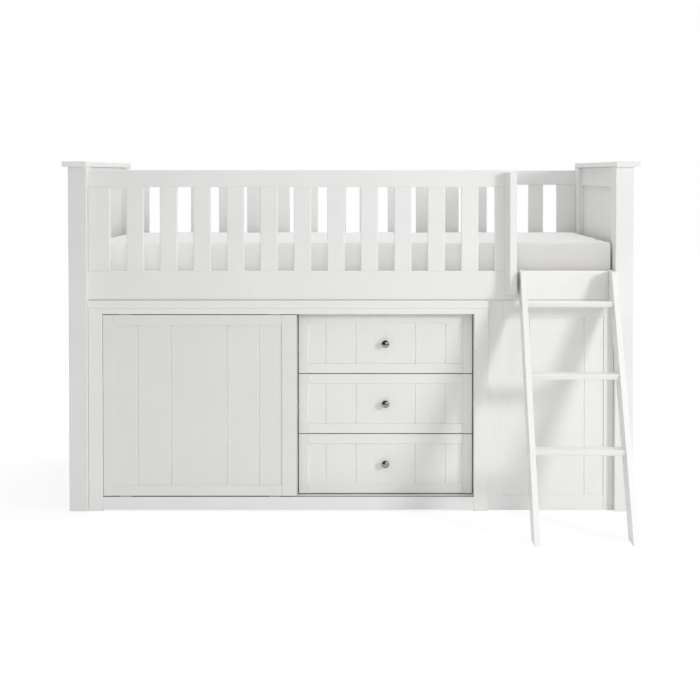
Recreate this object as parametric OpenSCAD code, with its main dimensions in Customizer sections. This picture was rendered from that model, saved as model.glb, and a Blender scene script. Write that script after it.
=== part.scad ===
// Cabin bed: a raised single bed on four posts, with a guard all round, a cabinet with one sliding
// door and three drawers under it, a fixed panel, and a leaning ladder that hooks onto the side rail.
// X runs along the bed, Y from the front to the rear, Z up. Inside the modules, y = 0 is the front
// face of the posts and y grows to the rear; bed() moves the whole onto the part's own origin.

/* [Posts and caps] */
// Clear length between the posts
clear_l = 1900; // [1800:10:2000]
// Width of a post, along the bed
post_w = 67; // [50:1:90]
// Depth of a post, across the bed
post_d = 90; // [60:1:110]
// Height of a post from the floor
post_h = 1245; // [1150:5:1400]
// Thickness of the cap boards
cap_t = 20; // [12:1:30]
// Overhang of the caps outside and in front of the posts
cap_over = 18; // [0:1:30]
// Thickness of a floor glide
glide_t = 3; // [2:0.5:6]
// Diameter of a floor glide
glide_d = 36; // [20:1:45]

/* [Guards and rails] */
// Thickness of the rails and stiles
rail_t = 20; // [16:1:28]
// Set-back of the front guard from the posts' front faces
guard_inset = 22; // [10:1:32]
// Height of the side rails
side_rail_h = 105; // [80:1:110]
// Height of the top edge of the side rails
side_rail_top = 870; // [860:1:950]
// Height of the guards' top rails
top_rail_h = 62; // [40:1:90]
// Gap between the top rails and the caps
top_rail_drop = 10.5; // [2:0.5:30]
// Width of the guard stiles
guard_stile_w = 80; // [50:1:110]
// Width of a guard slat
guard_slat_w = 62.5; // [40:0.5:70]
// Thickness of a guard slat
guard_slat_t = 14; // [10:1:16]
// Number of slats in the front guard
front_slat_count = 11; // [8:1:12]
// Number of slats in the rear guard
rear_slat_count = 14; // [8:1:16]
// Clear opening between the front guard and the right post
entry_w = 352; // [320:1:450]
// Rounding of the long edges of boards
edge_r = 3; // [1:0.5:4]
// Rounding of the edges of the cabinet's boards, the door and the drawers
trim_r = 2; // [0.5:0.5:3]

/* [Ends] */
// Set-back of the end rails from the posts' inner faces
end_inset = 16; // [5:1:24]
// Thickness of the end rails
end_rail_t = 30; // [24:1:36]
// Height of the end top rails
end_top_rail_h = 75; // [50:1:110]
// Height of the end bottom rails
end_bottom_rail_h = 90; // [60:1:120]
// Height of the bottom rails above the floor
end_bottom_rail_z = 60; // [20:1:120]
// Thickness of the tongued boards
end_board_t = 12; // [8:1:16]
// Width of one tongued board
end_board_w = 102; // [70:1:140]

/* [Mattress and base] */
// Width of the mattress
mattress_w = 900; // [750:10:1000]
// Thickness of the mattress
mattress_t = 160; // [120:5:200]
// Room between the mattress and the side rails
mattress_gap = 19; // [10:1:30]
// Room between the mattress and the posts at each end
mattress_end_gap = 3; // [1:1:10]
// Rounding of the mattress's top and bottom edges
mattress_edge_r = 32; // [15:1:50]
// Rounding of the mattress's corners, seen from above
mattress_corner_r = 35; // [20:5:100]
// Smallest rounding of the corners on the mattress's top and underside
mattress_inner_r = 1; // [0.5:0.5:5]
// Swell of the mattress's sides, halfway up
mattress_swell = 3; // [0:0.5:6]
// Rise of the mattress's top in its middle
mattress_crown = 5; // [0:1:15]
// Height of a ledger's underside above the side rail's underside
ledger_rise = 3; // [0:1:10]
// Side of the square ledgers that carry the slats
ledger_s = 28; // [20:1:32]
// Gap between the ends of a ledger and the posts
ledger_end_gap = 1; // [0.5:0.5:10]
// Thickness of a base slat
base_slat_t = 18; // [14:1:24]
// Width of a base slat
base_slat_w = 70; // [50:1:100]
// Number of base slats
base_slat_count = 14; // [10:1:18]

/* [Fasteners] */
// Diameter of the frame bolts
bolt_d = 8; // [6:1:10]
// Diameter of the bolt heads
bolt_head_d = 18; // [14:1:22]
// Thickness of the bolt heads
bolt_head_t = 5; // [3:0.5:8]
// Depth of the bolt heads below the posts' faces
bolt_head_sink = 1; // [0.5:0.5:3]
// Reach of the bolt holes into the side rails
bolt_reach = 60; // [45:1:90]
// Room between the end of a bolt and the end of its hole
bolt_end_room = 2; // [1:1:5]
// Diameter of the barrel nuts
barrel_d = 12; // [11:0.5:14]
// Wood left between the barrel nuts and the rails' outer faces
barrel_wall = 2; // [1.5:0.5:3]
// Spacing of the two bolts at a rail end
bolt_pitch = 60; // [30:1:64]

/* [Cabinet] */
// Length of the cabinet along the bed
cabinet_l = 1444.5; // [1400:0.5:1480]
// Set-back of the cabinet's face from the posts' front faces
cabinet_inset = 13; // [5:1:16]
// Depth of the cabinet from its face to its back
cabinet_d = 470; // [440:5:600]
// Thickness of the cabinet's top board
cabinet_top_t = 29; // [22:1:32]
// Thickness of the face stiles, top rail and plinth
face_t = 22; // [20:1:26]
// Width of the face stiles
face_stile_w = 51; // [40:1:60]
// Height of the rail under the top board
face_top_rail_h = 21; // [16:1:40]
// Height of the plinth's underside above the floor
plinth_gap = 6; // [3:1:15]
// Height of the inside floor of the cabinet
cabinet_floor_z = 51; // [45:1:70]
// Thickness of the cabinet's sides, bottom and shelf
board_t = 18; // [15:1:20]
// Thickness of the cabinet's back
back_t = 6; // [4:1:8]
// Thickness of the divider between door side and drawer side
divider_t = 16; // [14:1:20]
// Width of the drawer side of the cabinet
drawer_bay_w = 639.5; // [600:0.5:644]
// Height of the shelf's underside above the cabinet's floor
shelf_rise = 322; // [200:1:400]
// Set-back of the shelf from the divider's front edge
shelf_setback = 12; // [0:1:60]
// Diameter of the shelf pins
shelf_pin_d = 6; // [5:0.5:8]
// Reach of the shelf pins out of the cabinet's sides
shelf_pin_reach = 10; // [8:1:14]
// Depth of the shelf pins in the cabinet's sides
shelf_pin_sink = 8; // [6:1:12]
// Distance of the shelf pins from the shelf's edges
shelf_pin_inset = 50; // [30:5:100]
// Gap between the cabinet and its neighbours
cabinet_gap = 0.5; // [0.3:0.1:1]

/* [Sliding door] */
// Thickness of the sliding door
door_t = 16; // [14:1:17]
// Width of the sliding door
door_w = 698.5; // [660:0.5:710]
// Set-back of the door from the cabinet's face
door_inset = 5; // [2:0.5:5]
// Gap above and below the door
door_gap = 3; // [2:0.5:5]
// Gap between the closed door and the left face stile
door_side_gap = 1; // [0.5:0.5:3]
// Width of the door's left stile
door_left_stile_w = 38.5; // [30:0.5:60]
// Width of the door's right stile
door_right_stile_w = 52; // [30:0.5:70]
// Height of the door's rails
door_rail_h = 39; // [30:1:60]
// Length of the nylon glides in the door's edges
door_glide_l = 40; // [20:5:80]
// Distance of the door glides from the door's sides
door_glide_inset = 60; // [50:5:120]
// Depth of the door glides in the door
glide_sink = 10; // [6:1:14]
// Thickness of the walls of a door track
track_wall = 2; // [1:0.1:2]
// Width of the groove in a door track
track_groove_w = 6; // [4:0.5:6]
// Depth of a door track
track_d = 10; // [8:1:12]

/* [Drawers] */
// Set-back of the drawer fronts from the cabinet's face
drawer_inset = 46; // [44:1:60]
// Thickness of the drawer fronts
drawer_front_t = 18; // [16:1:22]
// Gap between drawer fronts, and over the upper one
drawer_gap = 3; // [2:0.5:5]
// Gap under the lowest drawer front
drawer_floor_gap = 4; // [3:0.5:12]
// Gap at each side of the drawer fronts
drawer_side_gap = 3.2; // [1.5:0.1:3.5]
// Height of a drawer box above its front's lower edge
drawer_box_rise = 12; // [8:1:20]
// Height of the runner grooves in the drawer sides
drawer_groove_rise = 66; // [50:1:80]
// Height of the drawer bottoms in their boxes
drawer_bottom_rise = 8; // [8:1:12]
// Thickness of the backs of the drawer boxes
drawer_back_t = 12; // [10:1:16]
// Reach of the drawer bottoms into the sides and the front
drawer_bottom_tongue = 5; // [3:0.5:6]
// Width of the members round a drawer front
drawer_member_w = 35; // [28:1:50]
// Depth of the drawer boxes
drawer_box_d = 370; // [300:5:390]
// Height of the drawer boxes
drawer_box_h = 150; // [110:5:170]
// Thickness of the drawer sides
drawer_side_t = 16; // [15:1:18]
// Thickness of the drawer bottoms
drawer_bottom_t = 5; // [4:0.5:8]
// Clear space between a drawer box and the cabinet
drawer_play = 4; // [3:0.5:5]
// Height of the runners
runner_h = 18; // [12:1:24]
// Reach of the runners from the cabinet
runner_t = 12; // [10:1:13]
// Gap between the runners and the drawer fronts
runner_front_gap = 3; // [1:1:10]
// Gap between the runners and the cabinet's back
runner_back_gap = 6; // [1:1:20]
// Diameter of a knob
knob_d = 28; // [22:1:32]
// Diameter of a knob's neck
knob_neck_d = 12; // [8:1:16]
// Height of a knob's domed face
knob_crown = 3; // [1:0.5:5]
// Thickness of a knob's rim
knob_rim = 3; // [1:0.5:5]
// Projection of a knob from its drawer front
knob_l = 21; // [16:1:23]

/* [Panels] */
// Thickness of the grooved panels
panel_t = 8; // [6:1:9]
// Set-back of the panels from their frames' faces
panel_inset = 4; // [2:0.5:5]
// Reach of a panel into its frame
panel_tongue = 7; // [5:0.5:10]
// Width of the V grooves
vee_w = 6; // [3:0.5:8]
// Width of the fixed panel's stiles
infill_left_stile_w = 52; // [40:1:70]
// Width of the fixed panel's stile beside the post
infill_right_stile_w = 35; // [30:1:60]
// Height of the fixed panel's top rail
infill_top_rail_h = 64; // [40:1:90]
// Height of the fixed panel's bottom rail
infill_bottom_rail_h = 54; // [40:1:90]
// Set-back of the fixed panel from the posts' front faces
infill_inset = 29; // [20:1:40]
// Thickness of the fixed panel's frame
infill_t = 18; // [16:1:24]

/* [Grab post] */
// Projection of the grab post from the guard
grab_reach = 50; // [30:1:70]
// Width of the grab post's base
grab_base_w = 40; // [30:1:60]
// Width of the grab post's front face
grab_front_w = 24; // [16:1:28]
// Distance of the grab post from the guard's end
grab_end_gap = 5; // [0:1:10]
// Height of the grab post's lower end at the guard
grab_bottom_z = 780; // [770:1:850]
// Rise of the grab post's lower end towards its front
grab_bottom_rise = 12; // [0:1:30]
// Distance of the grab post's top below the top rail's upper edge
grab_top_drop = 9.5; // [5:0.5:30]

/* [Ladder] */
// Thickness of the ladder's stiles
ladder_stile_t = 19; // [18:1:24]
// Depth of the ladder's stiles, measured level
ladder_stile_d = 100; // [80:1:120]
// Distance of the ladder's left stile from the guard's end
ladder_left_gap = 6.5; // [3:0.5:20]
// Gap between the ladder's right stile and the post
ladder_post_gap = 1.5; // [1:0.5:10]
// Reach of the ladder's feet in front of the posts
ladder_foot_y = 490; // [400:5:560]
// Projection of the stiles' tops in front of the posts
ladder_top_y = 47; // [40:1:60]
// Height of the lowest tread's underside
tread_z = 270; // [220:5:280]
// Rise from tread to tread
tread_rise = 239.5; // [220:0.5:245]
// Number of treads
tread_count = 3; // [2:1:3]
// Thickness of a tread
tread_t = 18; // [16:1:28]
// Depth of a tread
tread_d = 70; // [50:1:80]
// Rounding of the treads' long edges
tread_r = 4; // [2:0.5:6]
// Set-back of the treads from the stiles' front edges
tread_setback = 5; // [2:1:10]
// Depth of the housings that hold the treads
housing_d = 6; // [4:1:8]
// Thickness of the steel hooks
hook_t = 2.5; // [2:0.5:4]
// Width of the hooks
hook_w = 14; // [10:1:16]
// Length of a hook's lip behind the side rail
hook_lip = 28; // [20:1:40]
// Length of a hook's plate on the stile
hook_plate = 57; // [30:1:60]
// Diameter of the tread screws
screw_d = 5; // [4:0.5:6]
// Diameter of the tread screws' heads
screw_head_d = 9; // [7:0.5:10]
// Thickness of the tread screws' heads
screw_head_t = 3; // [2:0.5:4]
// Distance of the tread screws from the treads' edges
screw_inset = 17; // [12:1:20]
// Length of the tread screws
screw_l = 50; // [40:1:60]

/* [Clearances] */
// Clearance of a piece that is let into another
fit = 0.2; // [0.1:0.05:0.3]
// Clearance of a piece that slides
slide = 0.5; // [0.3:0.1:0.8]
// Clearance of the mattress from the slats
soft_gap = 0.3; // [0.2:0.1:0.8]
// Width of the joint lines between the members of a frame
joint = 0.1; // [0.05:0.05:0.3]
// Gap under the side rails, over the cabinet and the fixed panel
under_rail_gap = 1; // [0.5:0.1:1]

/* [Hidden] */
$fn = 32;

// How far a cut runs on past the face that it opens
over = 1;

paint = "#ececec";
timber = "#e3cda4";
chrome = "#c9ccd0";
zinc = "#a9adb2";
nylon = "#d8d8d6";
dark_plastic = "#3a3a3c";
black_steel = "#303134";
cloth = "#f2f2f0";

// Places across the bed
guard_y = guard_inset;
rail_back_y = guard_y + rail_t;
mattress_y = rail_back_y + mattress_gap;
frame_d = mattress_y + mattress_w + mattress_gap + rail_t;
rear_rail_y = frame_d - rail_t;
front_y = -(frame_d - ladder_foot_y) / 2;
half_l = clear_l / 2;
cap_w = post_w + cap_over;

// Heights of the frame
side_rail_z = side_rail_top - side_rail_h;
top_rail_top = post_h - top_rail_drop;
top_rail_z = top_rail_top - top_rail_h;
grab_top_z = top_rail_top - grab_top_drop;
ledger_z = side_rail_z + ledger_rise;
slat_z = ledger_z + ledger_s;
slat_top = slat_z + base_slat_t;
mattress_z = slat_top + soft_gap;
end_top_rail_z = post_h - end_top_rail_h;
end_panel_low_z = end_bottom_rail_z + end_bottom_rail_h;

// Guards
guard_end_x = half_l - entry_w;
front_guard_l = half_l + guard_end_x;

// Cabinet
cabinet_x = -half_l + cabinet_gap;
cabinet_end_x = cabinet_x + cabinet_l;
cabinet_y = cabinet_inset;
carcass_y = cabinet_y + face_t;
cabinet_back_y = cabinet_y + cabinet_d;
back_y = cabinet_back_y - back_t;
cabinet_top_z = side_rail_z - under_rail_gap;
cabinet_under_top = cabinet_top_z - cabinet_top_t;
opening_x = cabinet_x + face_stile_w;
opening_end_x = cabinet_end_x - face_stile_w;
opening_top = cabinet_under_top - face_top_rail_h;
bay_x = opening_end_x - drawer_bay_w;
divider_x = bay_x - divider_t;
bay_front_y = cabinet_y + drawer_inset;
carcass_x = cabinet_x + board_t;
shelf_z = cabinet_floor_z + shelf_rise;
shelf_y = bay_front_y + shelf_setback;

// Sliding door
door_x = opening_x + door_side_gap;
door_y = cabinet_y + door_inset;
door_z = cabinet_floor_z + door_gap;
door_h = opening_top - door_gap - door_z;
track_w = track_groove_w + 2 * track_wall;
track_y = door_y + door_t / 2 - track_w / 2;
glide_w = track_groove_w - 2 * slide;

// Drawers, counted from the lowest
drawer_front_w = drawer_bay_w - 2 * drawer_side_gap;
drawer_count = 3;
drawer_front_h = (opening_top - cabinet_floor_z - drawer_floor_gap) / drawer_count - drawer_gap;
drawer_pitch = drawer_front_h + drawer_gap;
drawer_front_x = bay_x + drawer_side_gap;
drawer_back_y = bay_front_y + drawer_front_t;
drawer_box_x = bay_x + drawer_play;
drawer_box_w = drawer_bay_w - 2 * drawer_play;
drawer_groove_d = runner_t - drawer_play + slide;
runner_y = drawer_back_y + runner_front_gap;
runner_end_y = back_y - runner_back_gap;
function drawer_z(n) = cabinet_floor_z + drawer_floor_gap + n * drawer_pitch;

// Ladder, as lines in the upright plane across the bed
ladder_lean = (ladder_foot_y - ladder_top_y) / side_rail_top;
ladder_left_x = guard_end_x + ladder_left_gap;
ladder_right_x = half_l - ladder_post_gap - ladder_stile_t;
hook_xs = [ladder_left_x + ladder_stile_t - hook_w, ladder_right_x];
function ladder_front_y(z) = -ladder_foot_y + z * ladder_lean;
function tread_top(n) = tread_z + n * tread_rise + tread_t;
function tread_y(n) = ladder_front_y(tread_top(n)) + tread_setback;

// Shares of a panel's width at which its V grooves lie: narrow, wide and narrow boards in turn
door_vees = [0.143, 0.34, 0.672, 0.864];
drawer_vees = [0.113, 0.308, 0.692, 0.887];
infill_vees = [0.261, 0.807];

module bed() {
    translate([0, front_y, 0]) children();
}

module mirrored_x() {
    children();
    mirror([1, 0, 0]) children();
}

// A rectangle with rounded corners, from its lower left corner
module rounded_rect(w, d, r) {
    translate([r, 0]) square([w - 2 * r, d]);
    translate([0, r]) square([w, d - 2 * r]);
    for (x = [r, w - r], y = [r, d - r]) translate([x, y]) circle(r);
}

// Boards whose long edges are rounded, named by the way the board runs
module board_x(at, size, r = edge_r) {
    translate(at) rotate([90, 0, 90]) linear_extrude(size[0]) rounded_rect(size[1], size[2], r);
}

module board_y(at, size, r = edge_r) {
    translate(at + [0, size[1], 0]) rotate([90, 0, 0])
        linear_extrude(size[1]) rounded_rect(size[0], size[2], r);
}

module board_z(at, size, r = edge_r) {
    translate(at) linear_extrude(size[2]) rounded_rect(size[0], size[1], r);
}

module box(at, size) {
    translate(at) cube(size);
}

// A round rod from a point, along X, Y or Z
module rod_x(at, d, l) {
    translate(at) rotate([0, 90, 0]) cylinder(h = l, d = d);
}

module rod_y(at, d, l) {
    translate(at) rotate([-90, 0, 0]) cylinder(h = l, d = d);
}

// A panel with V grooves up its front face; x_cuts are the grooves' places along it
module grooved_panel(at, size, x_cuts, both = false) {
    translate(at) linear_extrude(size[2]) difference() {
        square([size[0], size[1]]);
        for (x = x_cuts) translate([x, 0]) rotate(45) square(vee_w / sqrt(2), center = true);
        if (both)
            for (x = x_cuts) translate([x, size[1]]) rotate(45)
                square(vee_w / sqrt(2), center = true);
    }
}

// ---- Frame ----

bolt_levels = [side_rail_z + (side_rail_h - bolt_pitch) / 2, side_rail_z + (side_rail_h + bolt_pitch) / 2];
front_bolt_y = guard_y + rail_t / 2;
rear_bolt_y = rear_rail_y + rail_t / 2;
bolt_sink = bolt_head_t + bolt_head_sink;

module bolt_holes_right(y) {
    for (z = bolt_levels) {
        rod_x([half_l - bolt_reach, y, z], bolt_d + 2 * fit, post_w + bolt_reach + over);
        rod_x([half_l + post_w - bolt_sink, y, z], bolt_head_d + 2 * fit, bolt_sink + over);
    }
}

// Barrel nuts or their holes, let into a rail from its inner side (inner is 1 at the front, -1 at the rear)
module right_barrels(y, inner, room) {
    length = rail_t - 2 * barrel_wall;
    for (z = bolt_levels)
        translate([half_l - bolt_reach + barrel_d, y - inner * (length / 2 + room), z])
            rotate([-90 * inner, 0, 0])
                cylinder(h = length + room + (room > 0 ? rail_t : 0), d = barrel_d + 2 * room);
}

// The right-hand post; the left one is its mirror image
module right_post(y, bolt_y) {
    difference() {
        board_z([half_l, y, glide_t], [post_w, post_d, post_h - glide_t]);
        bolt_holes_right(bolt_y);
        end_panel_space();
    }
}

module post_front_left() color(paint) bed() mirror([1, 0, 0]) right_post(0, front_bolt_y);
module post_front_right() color(paint) bed() right_post(0, front_bolt_y);
module post_rear_left() color(paint) bed() mirror([1, 0, 0]) right_post(frame_d - post_d, rear_bolt_y);
module post_rear_right() color(paint) bed() right_post(frame_d - post_d, rear_bolt_y);

module floor_glides() {
    color(nylon) bed() mirrored_x()
        for (y = [post_d / 2, frame_d - post_d / 2])
            translate([half_l + post_w / 2, y, 0]) cylinder(h = glide_t, d = glide_d);
}

module right_cap() {
    board_y([half_l, -cap_over, post_h], [cap_w, frame_d + cap_over, cap_t]);
}

module cap_left() color(paint) bed() mirror([1, 0, 0]) right_cap();
module cap_right() color(paint) bed() right_cap();

// ---- Ends ----

end_x = half_l + end_inset;
end_span = frame_d - 2 * post_d;
end_board_x = end_x + (end_rail_t - end_board_t) / 2;

// The space that the boards of an end take up in the rails and posts
module end_panel_space() {
    for (z = [[end_panel_low_z, side_rail_z], [side_rail_top, end_top_rail_z]])
        box([end_board_x - fit, post_d - panel_tongue - fit, z[0] - panel_tongue - fit],
            [end_board_t + 2 * fit, end_span + 2 * (panel_tongue + fit),
             z[1] - z[0] + 2 * (panel_tongue + fit)]);
}

module right_end_rails() {
    for (z = [[end_bottom_rail_z, end_bottom_rail_h], [side_rail_z, side_rail_h],
              [end_top_rail_z, end_top_rail_h]])
        difference() {
            board_y([end_x, post_d, z[0]], [end_rail_t, end_span, z[1]]);
            end_panel_space();
        }
}

module right_end_panels() {
    width = end_span + 2 * panel_tongue;
    cuts = [for (x = [end_board_w : end_board_w : width - end_board_w / 2]) x];
    for (z = [[end_panel_low_z, side_rail_z], [side_rail_top, end_top_rail_z]])
        translate([end_board_x + end_board_t, post_d - panel_tongue, z[0] - panel_tongue]) rotate(90)
            grooved_panel([0, 0, 0], [width, end_board_t, z[1] - z[0] + 2 * panel_tongue], cuts, true);
}

module end_rails_left() color(paint) bed() mirror([1, 0, 0]) right_end_rails();
module end_rails_right() color(paint) bed() right_end_rails();
module end_panels_left() color(paint) bed() mirror([1, 0, 0]) right_end_panels();
module end_panels_right() color(paint) bed() right_end_panels();

// ---- Guards ----

// Slats evenly spread between two stiles, set back a little from the rails' faces
module guard_slats(x0, x1, y, count) {
    gap = (x1 - x0 - count * guard_slat_w) / (count + 1);
    for (i = [0 : count - 1])
        board_z([x0 + gap + i * (guard_slat_w + gap), y + (rail_t - guard_slat_t) / 2, side_rail_top],
            [guard_slat_w, guard_slat_t, top_rail_z - side_rail_top]);
}

module guard_stile(x, y) {
    board_z([x, y, side_rail_top], [guard_stile_w, rail_t, top_rail_z - side_rail_top]);
}

module front_top_rail() {
    color(paint) bed() board_x([-half_l, guard_y, top_rail_z], [front_guard_l, rail_t, top_rail_h]);
}

module front_guard_stiles() {
    color(paint) bed() for (x = [-half_l, guard_end_x - guard_stile_w]) guard_stile(x, guard_y);
}

module front_guard_slats() {
    color(paint) bed() guard_slats(-half_l + guard_stile_w, guard_end_x - guard_stile_w, guard_y,
        front_slat_count);
}

module front_side_rail() {
    color(paint) bed() difference() {
        board_x([-half_l, guard_y, side_rail_z], [clear_l, rail_t, side_rail_h]);
        mirrored_x() {
            bolt_holes_right(front_bolt_y);
            right_barrels(front_bolt_y, 1, fit);
        }
    }
}

module rear_top_rail() {
    color(paint) bed() board_x([-half_l, rear_rail_y, top_rail_z], [clear_l, rail_t, top_rail_h]);
}

module rear_guard_stiles() {
    color(paint) bed() for (x = [-half_l, half_l - guard_stile_w]) guard_stile(x, rear_rail_y);
}

module rear_guard_slats() {
    color(paint) bed() guard_slats(-half_l + guard_stile_w, half_l - guard_stile_w, rear_rail_y,
        rear_slat_count);
}

module rear_side_rail() {
    color(paint) bed() difference() {
        board_x([-half_l, rear_rail_y, side_rail_z], [clear_l, rail_t, side_rail_h]);
        mirrored_x() {
            bolt_holes_right(rear_bolt_y);
            right_barrels(rear_bolt_y, -1, fit);
        }
    }
}

// A post of tapered section, whose lower end slopes up to the front
module grab_post() {
    right = guard_end_x - grab_end_gap;
    left = right - grab_base_w;
    front = guard_y - grab_reach;
    color(paint) bed() intersection() {
        translate([0, 0, grab_bottom_z - over]) linear_extrude(grab_top_z - grab_bottom_z + over)
            polygon([[left, guard_y], [right, guard_y], [right, front], [right - grab_front_w, front]]);
        translate([left - over, 0, 0]) rotate([90, 0, 90]) linear_extrude(grab_base_w + 2 * over)
            polygon([[guard_y, grab_bottom_z], [guard_y, grab_top_z], [front, grab_top_z],
                [front, grab_bottom_z + grab_bottom_rise]]);
    }
}

// ---- Base and mattress ----

module slat_ledgers() {
    color(timber) bed() for (y = [rail_back_y, rear_rail_y - ledger_s])
        board_x([-half_l + ledger_end_gap, y, ledger_z],
            [clear_l - 2 * ledger_end_gap, ledger_s, ledger_s], trim_r);
}

module base_slats() {
    pitch = (clear_l - 2 * base_slat_w) / (base_slat_count - 1);
    color(timber) bed() for (i = [0 : base_slat_count - 1])
        board_y([-half_l + base_slat_w / 2 + i * pitch, rail_back_y + slide, slat_z],
            [base_slat_w, rear_rail_y - rail_back_y - 2 * slide, base_slat_t], trim_r);
}

// The mattress is a closed skin of rings: each ring is a rounded rectangle, drawn in by an amount
// and lifted to a height that follow its rounded edges and its crowned top.
ring_corner_n = 6;
ring_n = 4 * (ring_corner_n + 1);
edge_n = 5;
crown_n = 3;
mattress_l = clear_l - 2 * mattress_end_gap;

function ring_point(i, inset) =
    let (q = floor(i / (ring_corner_n + 1)), a = 90 * q + 90 * (i % (ring_corner_n + 1)) / ring_corner_n,
         cx = mattress_l / 2 - mattress_corner_r, cy = mattress_w / 2 - mattress_corner_r,
         r = max(mattress_corner_r - inset, mattress_inner_r),
         k = max(inset - mattress_corner_r + mattress_inner_r, 0))
    [(q == 0 || q == 3 ? 1 : -1) * (cx - k) + r * cos(a), (q < 2 ? 1 : -1) * (cy - k) + r * sin(a)];

// Inset and height of each ring, from the underside's middle to the top's middle
mattress_profile = concat(
    [for (j = [0 : edge_n]) let (a = 90 * j / edge_n)
        [mattress_swell + mattress_edge_r * (1 - sin(a)), mattress_edge_r * (1 - cos(a))]],
    [[0, mattress_t / 2]],
    [for (j = [edge_n : -1 : 0]) let (a = 90 * j / edge_n)
        [mattress_swell + mattress_edge_r * (1 - sin(a)), mattress_t - mattress_crown
            - mattress_edge_r * (1 - cos(a))]],
    [for (j = [1 : crown_n]) let (u = j / crown_n)
        [mattress_swell + mattress_edge_r + u * (mattress_w / 2 - 2 * mattress_edge_r),
            mattress_t - mattress_crown * (1 - u) * (1 - u)]]);

module mattress() {
    rings = len(mattress_profile);
    points = [for (p = mattress_profile, i = [0 : ring_n - 1])
        let (q = ring_point(i, p[0])) [q[0], q[1], p[1]]];
    walls = [for (j = [0 : rings - 2], i = [0 : ring_n - 1], half = [0, 1])
        let (a = j * ring_n + i, b = j * ring_n + (i + 1) % ring_n, c = b + ring_n, d = a + ring_n)
        half == 0 ? [a, c, b] : [a, d, c]];
    bottom = [[for (i = [0 : ring_n - 1]) i]];
    top = [[for (i = [ring_n - 1 : -1 : 0]) (rings - 1) * ring_n + i]];
    color(cloth) bed() translate([0, mattress_y + mattress_w / 2, mattress_z])
        polyhedron(points, concat(walls, bottom, top));
}

// ---- Frame fasteners ----

module right_bolt(y, z) {
    rod_x([half_l - bolt_reach + bolt_end_room, y, z], bolt_d,
        bolt_reach - bolt_end_room + post_w - bolt_sink);
    rod_x([half_l + post_w - bolt_sink, y, z], bolt_head_d, bolt_head_t);
}

module frame_bolts() {
    color(zinc) bed() mirrored_x() for (y = [front_bolt_y, rear_bolt_y], z = bolt_levels) right_bolt(y, z);
}

module barrel_nuts() {
    color(zinc) bed() mirrored_x() for (rail = [[front_bolt_y, 1], [rear_bolt_y, -1]])
        difference() {
            right_barrels(rail[0], rail[1], 0);
            bolt_holes_right(rail[0]);
        }
}

// ---- Cabinet ----

shelf_pin_z = shelf_z - shelf_pin_d / 2 - fit;
shelf_pin_ys = [shelf_y + shelf_pin_inset, back_y - shelf_pin_inset];

module shelf_pin_holes() {
    for (y = shelf_pin_ys) {
        rod_x([carcass_x - shelf_pin_sink, y, shelf_pin_z], shelf_pin_d + 2 * fit, board_t);
        rod_x([divider_x - over, y, shelf_pin_z], shelf_pin_d + 2 * fit, shelf_pin_sink + over);
    }
}

module cabinet_side_left() {
    color(paint) bed() difference() {
        box([cabinet_x, carcass_y, 0], [board_t, back_y - carcass_y, cabinet_under_top]);
        shelf_pin_holes();
    }
}

module cabinet_side_right() {
    color(paint) bed() box([opening_end_x, carcass_y, 0], [board_t, back_y - carcass_y, cabinet_under_top]);
}

module cabinet_divider() {
    color(paint) bed() difference() {
        box([divider_x, bay_front_y, cabinet_floor_z],
            [divider_t, back_y - bay_front_y, cabinet_under_top - cabinet_floor_z]);
        shelf_pin_holes();
    }
}

module cabinet_top() {
    color(paint) bed() board_x([cabinet_x, cabinet_y, cabinet_under_top],
        [cabinet_l, cabinet_d, cabinet_top_t], trim_r);
}

module cabinet_bottom() {
    color(paint) bed() box([carcass_x, carcass_y, cabinet_floor_z - board_t],
        [opening_end_x - carcass_x, back_y - carcass_y, board_t]);
}

module cabinet_back() {
    color(paint) bed() box([cabinet_x, back_y, cabinet_floor_z - board_t],
        [opening_end_x + board_t - cabinet_x, back_t, cabinet_under_top - cabinet_floor_z + board_t]);
}

module cabinet_stiles() {
    color(paint) bed() for (x = [cabinet_x, opening_end_x])
        board_z([x, cabinet_y, 0], [face_stile_w, face_t, cabinet_under_top], trim_r);
}

// The channels for the door tracks, cut into the rail above and the plinth below the opening
module track_space() {
    for (z = [cabinet_floor_z - track_d - fit, opening_top])
        box([opening_x - over, track_y - fit, z],
            [opening_end_x - opening_x + 2 * over, track_w + 2 * fit, track_d + fit]);
}

module cabinet_top_rail() {
    color(paint) bed() difference() {
        board_x([opening_x, cabinet_y, opening_top], [opening_end_x - opening_x, face_t, face_top_rail_h],
            trim_r);
        track_space();
    }
}

module cabinet_plinth() {
    color(paint) bed() difference() {
        board_x([opening_x, cabinet_y, plinth_gap],
            [opening_end_x - opening_x, face_t, cabinet_floor_z - plinth_gap], trim_r);
        track_space();
    }
}

module cabinet_shelf() {
    color(paint) bed() board_x([carcass_x + slide, shelf_y, shelf_z],
        [divider_x - carcass_x - 2 * slide, back_y - shelf_y - slide, board_t], trim_r);
}

module shelf_pins() {
    length = shelf_pin_sink + shelf_pin_reach - fit;
    xs = [carcass_x - shelf_pin_sink + fit, divider_x - shelf_pin_reach];
    color(zinc) bed() for (x = xs, y = shelf_pin_ys) rod_x([x, y, shelf_pin_z], shelf_pin_d, length);
}

// U-shaped channels, open towards the door
module door_tracks() {
    length = opening_end_x - opening_x;
    color(dark_plastic) bed() for (side = [0, 1])
        translate([opening_x, track_y, side == 0 ? cabinet_floor_z - track_d : opening_top])
            difference() {
                cube([length, track_w, track_d]);
                translate([-over, track_wall, side == 0 ? track_wall : -over])
                    cube([length + 2 * over, track_groove_w, track_d - track_wall + over]);
            }
}

module drawer_runners() {
    color(timber) bed() for (n = [0 : drawer_count - 1], x = [bay_x, opening_end_x - runner_t])
        box([x, runner_y, drawer_z(n) + drawer_box_rise + drawer_groove_rise],
            [runner_t, runner_end_y - runner_y, runner_h]);
}

// ---- Frames with grooved panels ----

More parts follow.
